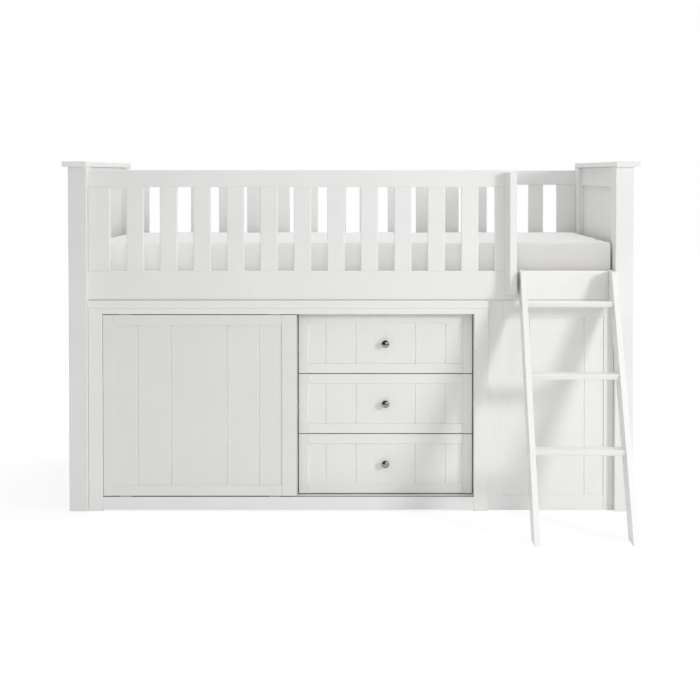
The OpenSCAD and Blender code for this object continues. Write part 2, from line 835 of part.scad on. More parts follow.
// Four members round a panel: left and right stiles of full height, and rails between them
module panel_frame(at, size, left, right, low, high) {
    w = size[0];
    t = size[1];
    h = size[2];
    difference() {
        translate(at) {
            board_z([0, 0, 0], [left, t, h], trim_r);
            board_z([w - right, 0, 0], [right, t, h], trim_r);
            board_x([left + joint, 0, 0], [w - left - right - 2 * joint, t, low], trim_r);
            board_x([left + joint, 0, h - high], [w - left - right - 2 * joint, t, high], trim_r);
        }
        reach = panel_tongue + fit;
        box(at + [left - reach, panel_inset - fit, low - reach],
            [w - left - right + 2 * reach, panel_t + 2 * fit, h - low - high + 2 * reach]);
    }
}

module frame_panel(at, size, left, right, low, high, vees) {
    width = size[0] - left - right;
    grooved_panel(at + [left - panel_tongue, panel_inset, low - panel_tongue],
        [width + 2 * panel_tongue, panel_t, size[2] - low - high + 2 * panel_tongue],
        [for (v = vees) panel_tongue + v * width]);
}

infill_x = cabinet_end_x + cabinet_gap;
infill_at = [infill_x, infill_inset, 0];
infill_size = [half_l - cabinet_gap - infill_x, infill_t, side_rail_z - under_rail_gap];

module infill_frame() {
    color(paint) bed() panel_frame(infill_at, infill_size, infill_left_stile_w, infill_right_stile_w,
        infill_bottom_rail_h, infill_top_rail_h);
}

module infill_panel() {
    color(paint) bed() frame_panel(infill_at, infill_size, infill_left_stile_w, infill_right_stile_w,
        infill_bottom_rail_h, infill_top_rail_h, infill_vees);
}

// ---- Sliding door ----

door_at = [door_x, door_y, door_z];
door_size = [door_w, door_t, door_h];

module door_frame() {
    color(paint) bed() difference() {
        panel_frame(door_at, door_size, door_left_stile_w, door_right_stile_w, door_rail_h, door_rail_h);
        for (z = [-over, door_h - glide_sink])
            for (x = [door_glide_inset, door_w - door_glide_inset - door_glide_l])
                box(door_at + [x - fit, (door_t - glide_w) / 2 - fit, z],
                    [door_glide_l + 2 * fit, glide_w + 2 * fit, glide_sink + over]);
    }
}

module door_panel() {
    color(paint) bed() frame_panel(door_at, door_size, door_left_stile_w, door_right_stile_w, door_rail_h,
        door_rail_h, door_vees);
}

// Nylon blades let into the door's edges, which run in the tracks
module door_glides() {
    reach = door_gap + track_d - track_wall - slide;
    color(nylon) bed() for (x = [door_glide_inset, door_w - door_glide_inset - door_glide_l])
        for (z = [-reach, door_h - glide_sink + fit])
            box(door_at + [x, (door_t - glide_w) / 2, z], [door_glide_l, glide_w, reach + glide_sink - fit]);
}

// ---- Drawers ----

module drawer_front(n) {
    at = [drawer_front_x, bay_front_y, drawer_z(n)];
    size = [drawer_front_w, drawer_front_t, drawer_front_h];
    m = drawer_member_w;
    color(paint) bed() {
        difference() {
            panel_frame(at, size, m, m, m, m);
            drawer_bottom_space(n, fit);
        }
        frame_panel(at, size, m, m, m, m, drawer_vees);
    }
}

module drawer_bottom_space(n, room) {
    reach = drawer_bottom_tongue + room;
    z = drawer_z(n) + drawer_box_rise + drawer_bottom_rise;
    box([drawer_box_x + drawer_side_t - reach, drawer_back_y - reach, z - room],
        [drawer_box_w - 2 * drawer_side_t + 2 * reach, drawer_box_d + reach + (room > 0 ? over : 0),
         drawer_bottom_t + 2 * room]);
}

module drawer_box(n) {
    z = drawer_z(n) + drawer_box_rise;
    back_z = drawer_bottom_rise + drawer_bottom_t + fit;
    color(timber) bed() {
        for (side = [0, 1]) difference() {
            x = drawer_box_x + side * (drawer_box_w - drawer_side_t);
            board_y([x, drawer_back_y, z], [drawer_side_t, drawer_box_d, drawer_box_h], trim_r);
            box([x + (side == 0 ? -over : drawer_side_t - drawer_groove_d), drawer_back_y - over,
                 z + drawer_groove_rise - slide],
                [drawer_groove_d + over, drawer_box_d + 2 * over, runner_h + slide + fit]);
            drawer_bottom_space(n, fit);
        }
        box([drawer_box_x + drawer_side_t + joint, drawer_back_y + drawer_box_d - drawer_back_t, z + back_z],
            [drawer_box_w - 2 * (drawer_side_t + joint), drawer_back_t, drawer_box_h - back_z]);
    }
}

module drawer_bottom(n) {
    color(timber) bed() drawer_bottom_space(n, 0);
}

// A turned knob: a short neck that swells into a shallow round head
module drawer_knob(n) {
    r = knob_d / 2;
    neck = knob_neck_d / 2;
    x = drawer_front_x + drawer_front_w / 2;
    y = bay_front_y + panel_inset;
    z = drawer_z(n) + drawer_front_h / 2;
    l = knob_l + panel_inset;
    rim_y = l - knob_crown;
    foot = neck + knob_rim;
    ball = (r * r + knob_crown * knob_crown) / (2 * knob_crown);
    color(chrome) bed() translate([x, y, z]) rotate([90, 0, 0]) rotate_extrude() {
        polygon([[0, 0], [foot, 0], [neck, knob_rim], [neck, l / 2], [r, rim_y - knob_rim],
            [r, rim_y], [0, rim_y]]);
        intersection() {
            translate([0, rim_y]) square([r, knob_crown]);
            translate([0, l - ball]) circle(ball, $fn = 96);
        }
    }
}

// ---- Ladder ----

module ladder_stile(x) {
    rear_foot = -ladder_foot_y + ladder_stile_d;
    rear_z = (guard_y - rear_foot) / ladder_lean;
    translate([x, 0, 0]) rotate([90, 0, 90]) linear_extrude(ladder_stile_t)
        polygon([[-ladder_foot_y, 0], [rear_foot, 0], [guard_y, rear_z], [guard_y, side_rail_top],
            [-ladder_top_y, side_rail_top]]);
}

module tread(n, room) {
    x0 = ladder_left_x + ladder_stile_t - housing_d;
    x1 = ladder_right_x + housing_d;
    board_x([x0 - room, tread_y(n) - room, tread_top(n) - tread_t - room],
        [x1 - x0 + 2 * room, tread_d + 2 * room, tread_t + 2 * room], tread_r);
}

function screw_ys(n) = [tread_y(n) + screw_inset, tread_y(n) + tread_d - screw_inset];

// Screws of the left stile's side, with their room; the right-hand ones are turned about the middle
module tread_screws(room) {
    middle = (ladder_left_x + ladder_right_x + ladder_stile_t) / 2;
    for (n = [0 : tread_count - 1], y = screw_ys(n), side = [-1, 1])
        translate([middle, y, tread_top(n) - tread_t / 2]) rotate([0, side * 90, 0]) {
            outer = middle - ladder_left_x;
            translate([0, 0, outer - screw_l]) cylinder(h = screw_l - screw_head_t, d = screw_d + 2 * room);
            translate([0, 0, outer - screw_head_t]) cylinder(h = screw_head_t + (room > 0 ? over : 0),
                d = screw_head_d + 2 * room);
        }
}

// A bent strip: a plate let into the stile, a bridge on top of the side rail and a lip behind it
module hook(x) {
    plate_z = side_rail_top - hook_plate;
    bridge_z = side_rail_top + fit;
    lip_z = side_rail_top - hook_lip;
    front = guard_y - hook_t;
    lip_y = rail_back_y + fit;
    back = lip_y + hook_t;
    translate([x, 0, 0]) rotate([90, 0, 90]) linear_extrude(hook_w)
        polygon([[front, plate_z], [guard_y, plate_z], [guard_y, bridge_z], [lip_y, bridge_z],
            [lip_y, lip_z], [back, lip_z], [back, bridge_z + hook_t], [front, bridge_z + hook_t]]);
}

module ladder_stiles() {
    color(paint) bed() for (x = [ladder_left_x, ladder_right_x]) difference() {
        ladder_stile(x);
        for (n = [0 : tread_count - 1]) tread(n, fit);
        tread_screws(fit);
        for (hook_x = hook_xs)
            box([hook_x - fit, guard_y - hook_t - fit, side_rail_top - hook_plate - fit],
                [hook_w + 2 * fit, hook_t + fit + over, hook_plate + fit + over]);
    }
}

module ladder_treads() {
    color(paint) bed() difference() {
        for (n = [0 : tread_count - 1]) tread(n, 0);
        tread_screws(fit);
    }
}

module ladder_hooks() color(black_steel) bed() for (x = hook_xs) hook(x);
module ladder_screws() color(zinc) bed() tread_screws(0);

post_front_left();
post_front_right();
post_rear_left();
post_rear_right();
floor_glides();
cap_left();
cap_right();
end_rails_left();
end_rails_right();
end_panels_left();
end_panels_right();
front_top_rail();
front_guard_stiles();
front_guard_slats();
front_side_rail();
rear_top_rail();
rear_guard_stiles();
rear_guard_slats();
rear_side_rail();
grab_post();
slat_ledgers();
base_slats();
mattress();
frame_bolts();
barrel_nuts();
cabinet_side_left();
cabinet_side_right();
cabinet_divider();
cabinet_top();
cabinet_bottom();
cabinet_back();
cabinet_stiles();
cabinet_top_rail();
cabinet_plinth();
cabinet_shelf();
shelf_pins();
door_tracks();
drawer_runners();
infill_frame();
infill_panel();
door_frame();
door_panel();
door_glides();
drawer_front(0);  // drawer_lower_front
drawer_box(0);  // drawer_lower_box
drawer_bottom(0);  // drawer_lower_bottom
drawer_knob(0);  // drawer_lower_knob
drawer_front(1);  // drawer_middle_front
drawer_box(1);  // drawer_middle_box
drawer_bottom(1);  // drawer_middle_bottom
drawer_knob(1);  // drawer_middle_knob
drawer_front(2);  // drawer_upper_front
drawer_box(2);  // drawer_upper_box
drawer_bottom(2);  // drawer_upper_bottom
drawer_knob(2);  // drawer_upper_knob
ladder_stiles();
ladder_treads();
ladder_hooks();
ladder_screws();
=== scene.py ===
# %% [markdown]
# # A cabin bed in white paint
# This notebook dresses a cabin bed: four posts, guards with slats, a cabinet with a sliding door and
# three drawers under the mattress, a fixed panel and a leaning ladder. The joiner's part of the work,
# every board at its real size, comes packed as a fixed frame. What is left is what a painter, an
# upholsterer and a photographer do: the paint, the bare timber inside, the metal, the mattress, the
# light and the view. Lengths are in metres, X runs along the bed, Y to the rear and Z up.

# %% Load the frame
import math

import bmesh
import bpy
import numpy as np
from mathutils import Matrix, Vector


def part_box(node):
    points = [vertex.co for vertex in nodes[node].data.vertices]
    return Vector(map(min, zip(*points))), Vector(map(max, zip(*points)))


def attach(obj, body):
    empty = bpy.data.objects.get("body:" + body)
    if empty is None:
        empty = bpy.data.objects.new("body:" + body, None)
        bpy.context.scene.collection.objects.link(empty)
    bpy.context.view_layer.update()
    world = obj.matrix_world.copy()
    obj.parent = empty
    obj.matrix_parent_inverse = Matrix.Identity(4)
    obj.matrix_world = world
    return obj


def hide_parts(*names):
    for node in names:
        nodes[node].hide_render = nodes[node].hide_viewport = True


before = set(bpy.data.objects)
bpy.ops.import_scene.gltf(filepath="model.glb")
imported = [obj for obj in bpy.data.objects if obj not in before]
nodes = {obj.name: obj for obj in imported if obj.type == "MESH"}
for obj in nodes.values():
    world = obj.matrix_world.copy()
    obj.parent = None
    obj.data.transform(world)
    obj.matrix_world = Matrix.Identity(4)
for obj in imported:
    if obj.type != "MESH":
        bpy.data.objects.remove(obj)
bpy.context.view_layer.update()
print("boards and fittings in the frame:", len(nodes))

# %% [markdown]
# ## The camera
# The bed was photographed from straight ahead, with the camera at the height of the caps, as the caps
# show only their front edges. A camera could be tilted down to bring the whole bed into the picture,
# but then the posts would lean. A furniture photographer keeps the film upright and moves the lens
# down instead. Blender's lens shift does the same, and a very small tilt takes over a part of it.

# %% Camera
IMAGE_PX = 700
CAMERA_X = 0.039
CAMERA_Z = 1.227
CAMERA_FROM_FRONT = 5.18
HORIZON_PX = 172
CENTRE_PX = 362
FOCAL_PX = 1443
TILT = math.radians(1.5)
SENSOR_MM = 36

front_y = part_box("post_front_left")[0].y
camera_data = bpy.data.cameras.new("camera")
camera_data.sensor_width = SENSOR_MM
camera_data.lens = FOCAL_PX * SENSOR_MM / IMAGE_PX
camera_data.shift_x = (IMAGE_PX / 2 - CENTRE_PX) / IMAGE_PX
camera_data.shift_y = (HORIZON_PX + FOCAL_PX * math.tan(TILT) - IMAGE_PX / 2) / IMAGE_PX
camera = bpy.data.objects.new("camera", camera_data)
camera.location = (CAMERA_X, front_y - CAMERA_FROM_FRONT, CAMERA_Z)
camera.rotation_euler = (math.pi / 2 - TILT, 0, 0)
bpy.context.scene.collection.objects.link(camera)
bpy.context.scene.camera = camera
print(f"lens {camera_data.lens:.1f} mm, shift {camera_data.shift_x:.3f}, {camera_data.shift_y:.3f}")

# %% [markdown]
# ## Lamps
# The photographer had a soft lamp in front of the bed on the right, a little higher than the guard.
# The ladder's shadow on the drawers shows where it stood, and the shadow's edge how large it was. A
# wide lamp under the ceiling brightens the inside of the guards, and a weak one low in front fills
# the shadows on the cabinet. It is kept off the door, the front posts, the right-hand cap and the
# treads, as a card in its beam would do, because the photograph has them a little darker. In Blender
# that card is light linking: a lamp gets a list of the pieces that it shines on or leaves out.

# %% Softbox, ceiling lamp and front lamp
KEY_WATTS = 71
CEILING_WATTS = 50
FRONT_WATTS = 12
SHADED_FROM_FRONT = ["door_frame", "door_panel", "post_front_left", "post_front_right", "cap_right",
                     "ladder_treads"]


def soft_lamp(name, place, aim, size, watts):
    """A round area lamp at a place, which shines at another."""
    place, aim = Vector(place), Vector(aim)
    data = bpy.data.lights.new(name, "AREA")
    data.shape = "DISK"
    data.size = size
    data.energy = watts
    lamp = bpy.data.objects.new(name, data)
    lamp.location = place
    lamp.rotation_mode = "QUATERNION"
    lamp.rotation_quaternion = (place - aim).to_track_quat("Z", "Y")
    bpy.context.scene.collection.objects.link(lamp)
    print(name, "at", [round(v, 2) for v in place], "with", watts, "W")
    return lamp


def linked(name, state, *pieces):
    """A collection for light linking that takes these pieces in, or leaves them out."""
    chosen = bpy.data.collections.new(name)
    for piece in pieces:
        chosen.objects.link(piece)
    for member in chosen.collection_objects:
        member.light_linking.link_state = state
    return chosen


bed_middle = (0.0, front_y, 0.62)
softbox = soft_lamp("softbox", place=(3.4, -3.05, 1.78), aim=bed_middle, size=0.85, watts=KEY_WATTS)
soft_lamp("ceiling_lamp", place=(0.35, 0.5, 4.2), aim=bed_middle, size=3.0, watts=CEILING_WATTS)
front_lamp = soft_lamp("front_lamp", place=(0.9, -4.2, 1.0), aim=bed_middle, size=2.0, watts=FRONT_WATTS)
front_lamp.light_linking.receiver_collection = linked(
    "off_the_front_lamp", "EXCLUDE", *[nodes[name] for name in SHADED_FROM_FRONT])

# %% [markdown]
# ## Shader sums
# A material is a graph of small nodes, and long graphs are hard to read. They could be drawn by hand
# in the editor, but then nobody sees the sum they stand for. Here one class wraps a socket, so that a
# sum written in Python adds the Math nodes it needs. One method adds any other node: its settings
# first, then what goes into its sockets.

# %% Wires
class Wire:
    """One output socket of a tree of nodes. Sums with it add Math nodes, and node() adds any other
    node. A wire without a socket only knows its tree, for the first node to start from."""

    def __init__(self, tree, socket=None):
        self.tree = tree
        self.socket = socket

    def node(self, kind, settings, inputs, out=0):
        """A new node of that kind: settings are its own choices, inputs its sockets' values or wires."""
        made = self.tree.nodes.new(kind)
        for name, value in settings.items():
            setattr(made, name, value)
        for key, value in inputs.items():
            if isinstance(value, Wire):
                self.tree.links.new(value.socket, made.inputs[key])
            else:
                made.inputs[key].default_value = value
        return Wire(self.tree, made.outputs[out])

    def output(self, name):
        """Another output of the node that this wire comes from."""
        return Wire(self.tree, self.socket.node.outputs[name])

    def math(self, operation, a, b=0.0):
        """A Math node on two wires or numbers."""
        return self.node("ShaderNodeMath", {"operation": operation}, {0: a, 1: b})

    def __add__(self, other):
        return self.math("ADD", self, other)

    def __radd__(self, other):
        return self.math("ADD", other, self)

    def __sub__(self, other):
        return self.math("SUBTRACT", self, other)

    def __rsub__(self, other):
        return self.math("SUBTRACT", other, self)

    def __mul__(self, other):
        return self.math("MULTIPLY", self, other)

    def __rmul__(self, other):
        return self.math("MULTIPLY", other, self)

    def __truediv__(self, other):
        return self.math("DIVIDE", self, other)

    def __rtruediv__(self, other):
        return self.math("DIVIDE", other, self)


print("wires are ready")

# %% [markdown]
# ## The white room
# The photograph's background is one plain white. Real white walls could give it, but they would have
# to be lit so strongly that the bed would drown in their light. Here the room is the world's colour,
# and the Light Path node asks what kind of ray wants to know it. Rays that light the bed find it
# gentle, while the camera, the gloss of the paint and the metal see it as plain white.

# %% World
ROOM_LIGHT = 0.625


def rays(tree):
    """Three wires that are 1 for a ray straight from the camera, off gloss or through glass."""
    eye = Wire(tree).node("ShaderNodeLightPath", {}, {}, out="Is Camera Ray")
    return [eye, eye.output("Is Glossy Ray"), eye.output("Is Transmission Ray")]


def seen_by_eye(tree):
    """1 for every ray that ends in the picture, whichever of the three it is."""
    eye, gloss, glass = rays(tree)
    return eye.math("MAXIMUM", eye.math("MAXIMUM", eye, gloss), glass)


def glow(wire, strength, kind="ShaderNodeEmission"):
    """Plain white light of one strength, from a surface or, as a background, from the world."""
    return wire.node(kind, {}, {"Color": (1, 1, 1, 1), "Strength": strength})


def either(factor, first, second):
    """One shader where the factor is 0 and the other where it is 1."""
    return factor.node("ShaderNodeMixShader", {}, {0: factor, 1: first, 2: second})


def show(shader, output="Material Output"):
    """Makes a shader the surface of its material or, with the other output's name, of the world."""
    shader.tree.links.new(shader.socket, shader.tree.nodes[output].inputs["Surface"])


world = bpy.data.worlds.new("white_room")
bpy.context.scene.world = world
world.use_nodes = True
seen = seen_by_eye(world.node_tree)
lit_by = glow(seen, ROOM_LIGHT, "ShaderNodeBackground")
looked_at = glow(seen, 1.0, "ShaderNodeBackground")
show(either(seen, lit_by, looked_at), "World Output")
bpy.context.scene.view_settings.view_transform = "Standard"
print("the room looks white and lights the bed at", ROOM_LIGHT)

# %% [markdown]
# ## Floor
# The bed stands on a white paper sweep that has no edge in the picture. It could be modelled with its
# curve up the wall, but nothing would be seen of that. A large flat sheet is enough. Far from the bed
# the camera sees it plain white. Near the bed a quarter of what it sees is lit like paper, so that a
# light shadow still ties the bed to the ground.

# %% Sheets and pieces
def grid_faces(rows, columns, wrap=False):
    """The four corners of each cell of a grid of rows by columns points. With wrap, the last column
    joins the first, as round a tube."""
    i, j = np.meshgrid(np.arange(rows - 1), np.arange(columns if wrap else columns - 1), indexing="ij")
    k = (j + 1) % columns
    return np.stack([i * columns + j, (i + 1) * columns + j, (i + 1) * columns + k, i * columns + k],
                    axis=-1).reshape(-1, 4)


def new_piece(name, points, faces, material, smooth=True):
    """An object at the origin whose mesh has these points and four-cornered faces."""
    mesh = bpy.data.meshes.new(name)
    mesh.from_pydata(np.asarray(points, float).tolist(), [], np.asarray(faces).tolist())
    mesh.polygons.foreach_set("use_smooth", np.full(len(mesh.polygons), smooth))
    mesh.materials.append(material)
    mesh.update()
    piece = bpy.data.objects.new(name, mesh)
    bpy.context.scene.collection.objects.link(piece)
    return piece


def new_finish(name, constants):
    """An empty material: gives it, its places in object coordinates, and its surface shader.
    Constants are the numbers and colours that are the same all over, set on the shader itself."""
    material = bpy.data.materials.new(name)
    material.use_nodes = True
    tree = material.node_tree
    shader = tree.nodes["Principled BSDF"]
    for socket, value in constants.items():
        shader.inputs[socket].default_value = value
    return material, Wire(tree).node("ShaderNodeTexCoord", {}, {}, out="Object"), shader


def spread(value, low, high, new_low=0.0, new_high=1.0):
    """The value's range from low to high, stretched onto the new range and cut off at its ends."""
    return value.node("ShaderNodeMapRange", {"clamp": True},
                      {"Value": value, "From Min": low, "From Max": high, "To Min": new_low,
                       "To Max": new_high})


print("a grid of 4 by 3 points has", len(grid_faces(4, 3)), "faces")

# %% Floor
FLOOR_HALF = 15
FLOOR_CELLS = 30
PAPER_COLOUR = (0.9, 0.9, 0.9, 1)
WHITE_NEAR_BED = 0.74
PAPER_GLOW = 1.09
SHADOW_NEAR = 1.3
SHADOW_END = 2.8

paper, place, shader = new_finish(
    "paper_sweep", {"Base Color": PAPER_COLOUR, "Roughness": 1.0, "Specular IOR Level": 0.0})
lit_paper = Wire(place.tree, shader.outputs["BSDF"])
away = place.node("ShaderNodeVectorMath", {"operation": "LENGTH"}, {0: place}, out="Value")
whiteness = spread(away, SHADOW_NEAR, SHADOW_END, WHITE_NEAR_BED, 1.0)
show(either(seen_by_eye(place.tree) * whiteness, lit_paper, glow(lit_paper, PAPER_GLOW)))

lines = np.linspace(-FLOOR_HALF, FLOOR_HALF, FLOOR_CELLS + 1)
x, y = np.meshgrid(lines, lines, indexing="ij")
floor = new_piece("floor", np.stack([x, y, 0 * x], axis=-1).reshape(-1, 3), grid_faces(*x.shape), paper)
print("floor sheet", 2 * FLOOR_HALF, "m wide")

# %% [markdown]
# ## Black flag
# Polished metal shows only what stands round it, and in an all-white room it would look like grey
# paint. The photographer's room was dark behind the camera: the knobs are nearly black at the lower
# left. A large card stands for that dark half. It starts on the floor in front of the bed, outside
# the picture, and rises far behind the camera. Gloss sees it dark; to the camera it is as white as
# the room, and it shines on the bed just as much.

# %% Flag
FLAG_DARK = 0.08
FLAG_LEFT = -14
FLAG_RIGHT = 3
FLAG_TOP_RIGHT = 5
FLAG_NEAR = -2.2
FLAG_FAR = -11
FLAG_LOW = 0.004
FLAG_HIGH = 9

flag_paper = new_finish("black_flag", {})[0]
eye, gloss = rays(flag_paper.node_tree)[:2]
card = either(gloss, glow(eye, ROOM_LIGHT), glow(eye, FLAG_DARK))
show(either(eye, card, glow(eye, 1.0)))
flag_corners = [(FLAG_LEFT, FLAG_NEAR, FLAG_LOW), (FLAG_RIGHT, FLAG_NEAR, FLAG_LOW),
                (FLAG_RIGHT, FLAG_FAR, FLAG_LOW), (FLAG_LEFT, FLAG_FAR, FLAG_LOW),
                (FLAG_TOP_RIGHT, FLAG_FAR, FLAG_HIGH), (FLAG_LEFT, FLAG_FAR, FLAG_HIGH)]
flag = new_piece("flag", flag_corners, [(0, 3, 2, 1), (2, 3, 5, 4)], flag_paper)
print("flag of", len(flag_corners), "corners")

# %% [markdown]
# ## White paint
# The boards are sprayed with a white satin lacquer. One flat white would do from far away, but seen
# close it isn't one. The spray leaves a fine orange-peel relief about two millimetres across, the
# timber's grain shows through as faint long ridges along each board, and the sheen changes a little
# from place to place. The grain follows the board, so the same finish is made three times, once for
# each way a board can run.

# %% Patterns and how they reach a surface
def noise(place, per_m, detail=2.0, roughness=0.5, distortion=0.0):
    """Smooth noise from 0 to 1 that turns per_m times in a metre."""
    return place.node("ShaderNodeTexNoise", {}, {"Vector": place, "Scale": per_m, "Detail": detail,
                                                 "Roughness": roughness, "Distortion": distortion})


def streaks(place, axis, along, across, detail=2.0, roughness=0.5):
    """Noise that turns so many times in a metre along one axis, and another number of times across."""
    scale = [along if a == axis else across for a in "xyz"]
    stretched = place.node("ShaderNodeMapping", {}, {"Vector": place, "Scale": scale})
    return noise(stretched, 1.0, detail, roughness)


def mix(factor, first, second):
    """A colour between two, as painters mix: factor 0 is the first and 1 the second. The Mix node has
    a set of sockets for each kind of value, and its colours are 6 and 7 on the left, 2 on the right."""
    def colour(value):
        return value if isinstance(value, Wire) else (*value, 1)
    return factor.node("ShaderNodeMix", {"data_type": "RGBA", "clamp_factor": True},
                       {0: factor, 6: colour(first), 7: colour(second)}, out=2)


def dullness(value, smooth, dull, low=0.3, high=0.7):
    """A roughness from smooth to dull, as a value goes from low to high, where most of a noise lies."""
    return spread(value, low, high, smooth, dull)


def bump(height, depth, strength):
    """The Normal of a relief: height from 0 to 1 stands for 0 to depth metres."""
    return height.node("ShaderNodeBump", {}, {"Height": height, "Distance": depth, "Strength": strength})


def feed(shader, **wires):
    """Links wires to the shader's sockets: base_color goes to Base Color, and so on."""
    for name, wire in wires.items():
        wire.tree.links.new(wire.socket, shader.inputs[name.replace("_", " ").title()])


print("patterns, colours, roughness and relief are ready")

# %% Paint
PAINT_WHITE = (0.815, 0.815, 0.805)
PAINT_SHADE = (0.79, 0.79, 0.778)
PEEL_PER_M = 420
CLOUDS_PER_M = 4.5
GRAIN_ACROSS = 190
GRAIN_ALONG = 5
PAINT_RELIEF = 0.00018


def painted(axis):
    """White lacquer on a board that runs along X, Y or Z: orange peel, grain ridges and uneven sheen."""
    material, place, shader = new_finish(f"white_paint_{axis}", {"IOR": 1.47})
    grain = streaks(place, axis, GRAIN_ALONG, GRAIN_ACROSS, detail=3.0, roughness=0.6)
    peel = noise(place, PEEL_PER_M, detail=1.0)
    cloud = noise(place, CLOUDS_PER_M, detail=3.0)
    feed(shader,
         base_color=mix(spread(cloud * 0.7 + grain * 0.3, 0.35, 0.65), PAINT_SHADE, PAINT_WHITE),
         roughness=dullness(cloud * 0.6 + peel * 0.4, 0.36, 0.5),
         normal=bump(grain * 0.55 + peel * 0.45, PAINT_RELIEF, strength=0.35))
    return material


paint = {axis: painted(axis) for axis in "xyz"}
print("paints:", [finish.name for finish in paint.values()])

# %% Paint on the boards
def dress(material, *names):
    """Puts a material on every slot of the named nodes, without touching their meshes."""
    for name in names:
        for slot in nodes[name].material_slots:
            slot.material = material
    print(f"{material.name}: {len(names)} nodes")


def each_drawer(part):
    """The names of one part of all three drawers."""
    return [f"drawer_{level}_{part}" for level in ("lower", "middle", "upper")]


dress(paint["x"], "front_top_rail", "front_side_rail", "rear_top_rail", "rear_side_rail", "cabinet_top",
      "cabinet_bottom", "cabinet_top_rail", "cabinet_plinth", "cabinet_shelf", "ladder_treads")
dress(paint["y"], "cap_left", "cap_right", "end_rails_left", "end_rails_right")
dress(paint["z"], "post_front_left", "post_front_right", "post_rear_left", "post_rear_right",
      "end_panels_left", "end_panels_right", "front_guard_stiles", "front_guard_slats",
      "rear_guard_stiles", "rear_guard_slats", "grab_post", "cabinet_side_left", "cabinet_side_right",
      "cabinet_divider", "cabinet_back", "cabinet_stiles", "infill_frame", "infill_panel",
      "door_frame", "door_panel", *each_drawer("front"), "ladder_stiles")

# %% [markdown]
# ## Bare pine
# What nobody sees is left unpainted: the ledgers and slats under the mattress, and the drawers'
# boxes and runners. Streaks of noise would look like wood from far away, but a pine board is a cut
# through the rings of a trunk. So the finish measures how far a point lies from the trunk's middle
# line, which runs along the board a little below it, and turns that distance into rings of pale
# spring wood and brown summer wood. Each board comes from another trunk: its number along the bed
# moves the middle line.

# %% Pine
SPRING_WOOD = (0.74, 0.58, 0.37)
SUMMER_WOOD = (0.56, 0.38, 0.20)
KNOT_BROWN = (0.25, 0.13, 0.06)
RING_M = 0.0045
SUMMER_FROM = 0.45
SUMMER_FULL = 0.95
SUMMER_ENDS = 0.96
BOARD_PITCH = 0.135
TRUNK_DEPTH = 0.2
TRUNK_OVAL = 0.3
WANDER_SIDE = 0.12
WANDER_DEPTH = 0.08
WANDERS_ALONG = 0.7
WANDERS_ACROSS = 2.2
FIBRES_ALONG = 16
FIBRES_ACROSS = 700
KNOTS_PER_M = 3.1
KNOT_EDGE = 0.055
KNOT_CORE = 0.035
PINE_RELIEF = 0.0003


def axes(place):
    """The three numbers of a place, each as a wire of its own."""
    x = place.node("ShaderNodeSeparateXYZ", {}, {"Vector": place}, out="X")
    return [x, x.output("Y"), x.output("Z")]


def pine(axis):
    """Planed pine that runs along X or Y. The radius is the square root of the side's square plus a
    share of the depth's, both from a wandering middle line. What is left of the radius after whole
    rings is the place in a ring, from spring to summer. Fibres and rare knots lie over the rings."""
    material, place, shader = new_finish(f"bare_pine_{axis}", {"IOR": 1.45, "Specular IOR Level": 0.35})
    x, y, z = axes(place)
    across = x if axis == "y" else y
    number = across.math("FLOOR", across / BOARD_PITCH)
    luck = number.node("ShaderNodeTexWhiteNoise", {"noise_dimensions": "1D"}, {"W": number})
    wander = streaks(place, axis, WANDERS_ALONG, WANDERS_ACROSS) - 0.5
    side = across - (number + luck) * BOARD_PITCH + wander * WANDER_SIDE
    depth = z + luck * TRUNK_DEPTH + wander * WANDER_DEPTH
    radius = side.math("SQRT", side * side + depth * depth * TRUNK_OVAL)
    ring = radius.math("FRACT", radius / RING_M)
    summer = spread(ring, SUMMER_FROM, SUMMER_FULL) * spread(ring, 1.0, SUMMER_ENDS)
    fibre = streaks(place, axis, FIBRES_ALONG, FIBRES_ACROSS)
    knots = place.node("ShaderNodeTexVoronoi", {}, {"Vector": place, "Scale": KNOTS_PER_M})
    wood = mix(summer * 0.75 + fibre * 0.2, SPRING_WOOD, SUMMER_WOOD)
    feed(shader,
         base_color=mix(spread(knots, KNOT_EDGE, KNOT_CORE) * 0.85, wood, KNOT_BROWN),
         roughness=dullness(fibre, 0.5, 0.66),
         normal=bump(fibre * 0.6 + summer * 0.4, PINE_RELIEF, strength=0.5))
    return material


pine_along = {axis: pine(axis) for axis in "xy"}
dress(pine_along["x"], "slat_ledgers")
dress(pine_along["y"], "base_slats", "drawer_runners", *each_drawer("box"), *each_drawer("bottom"))

# %% [markdown]
# ## Nylon and dark plastic
# The glides under the posts and on the door are moulded nylon, which is a little cloudy and never
# quite smooth. The door's tracks are pushed through a die, so their dark plastic carries fine lines
# along the run, and dust dulls it in places. Both could be plain colours; the patterns cost only a
# few lines and keep the small pieces from looking like toys.

# %% Nylon and track plastic
def nylon():
    """Moulded nylon: slightly cloudy, with a fine matt grain."""
    material, place, shader = new_finish("nylon", {"IOR": 1.53})
    cloud = noise(place, per_m=60)
    feed(shader,
         base_color=mix(cloud, (0.70, 0.70, 0.68), (0.78, 0.78, 0.76)),
         roughness=dullness(cloud, 0.38, 0.52),
         normal=bump(noise(place, per_m=900), depth=0.00006, strength=0.4))
    return material


def track_plastic():
    """Dark plastic from a die: lines a fraction of a millimetre apart along X, under patches of dust."""
    material, place, shader = new_finish("track_plastic", {"IOR": 1.5})
    lines = streaks(place, "x", along=3, across=1400)
    dust = streaks(place, "x", along=9, across=40, detail=3.0)
    dusty = spread(dust * 0.8 + lines * 0.2, 0.35, 0.7)
    feed(shader,
         base_color=mix(dusty, (0.028, 0.028, 0.03), (0.075, 0.073, 0.07)),
         roughness=dullness(dust * 0.6 + lines * 0.4, 0.34, 0.58),
         normal=bump(lines, depth=0.00006, strength=0.5))
    return material


dress(nylon(), "floor_glides", "door_glides")
dress(track_plastic(), "door_tracks")

